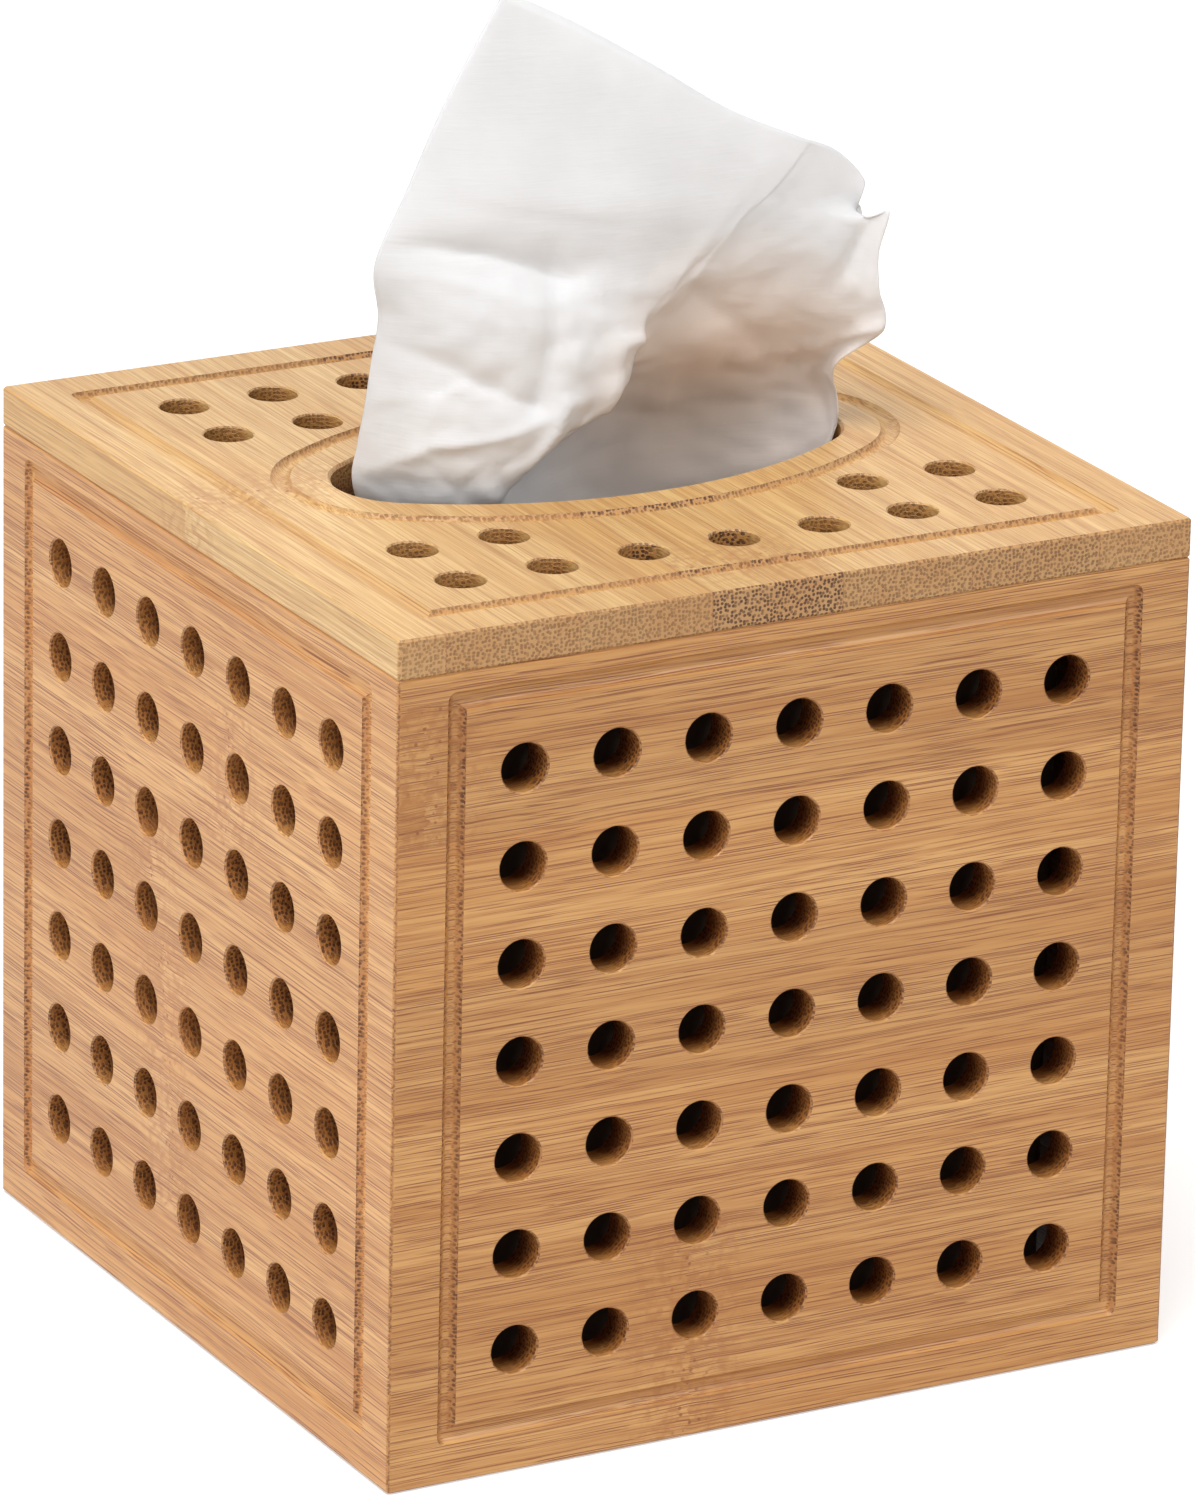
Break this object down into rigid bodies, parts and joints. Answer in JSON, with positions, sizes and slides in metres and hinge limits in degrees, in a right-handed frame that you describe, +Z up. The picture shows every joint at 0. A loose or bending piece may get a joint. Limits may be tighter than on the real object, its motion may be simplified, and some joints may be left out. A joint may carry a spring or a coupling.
{
  "type": "tissue box cover",
  "caption": "Cube tissue box cover of bamboo boards with bored vents, coved grooves and an oval mouth, standing over a card carton whose pop-up tissue rises through the mouth.",
  "frame": {"origin": "middle of the cover's footprint, on the surface that it stands on", "axes": "+Z up, -Y out of the front board, +X to the right along the front board and the mouth's long axis"},
  "size_m": [0.14, 0.14, 0.215],
  "materials": {
    "bamboo": "satin",
    "carton_card": "matte",
    "folded_tissues": "matte",
    "tissue_paper": "matte"
  },
  "bodies": {
    "tissue_pack": {"tissue_carton": "carton_card", "tissue_stack": "folded_tissues"},
    "cover": {"top_panel": "bamboo", "front_panel": "bamboo", "back_panel": "bamboo", "left_panel": "bamboo", "right_panel": "bamboo"},
    "tissue": {"pop_up_tissue": "tissue_paper"}
  },
  "joints": [
    {"name": "cover_lift", "type": "slide", "parent": "tissue_pack", "child": "cover", "axis": [0, 0, 1], "range_m": [0, 0.23]},
    {"name": "tissue_pull", "type": "slide", "parent": "tissue_pack", "child": "tissue", "axis": [0, 0, 1], "range_m": [0, 0.11]}
  ]
}
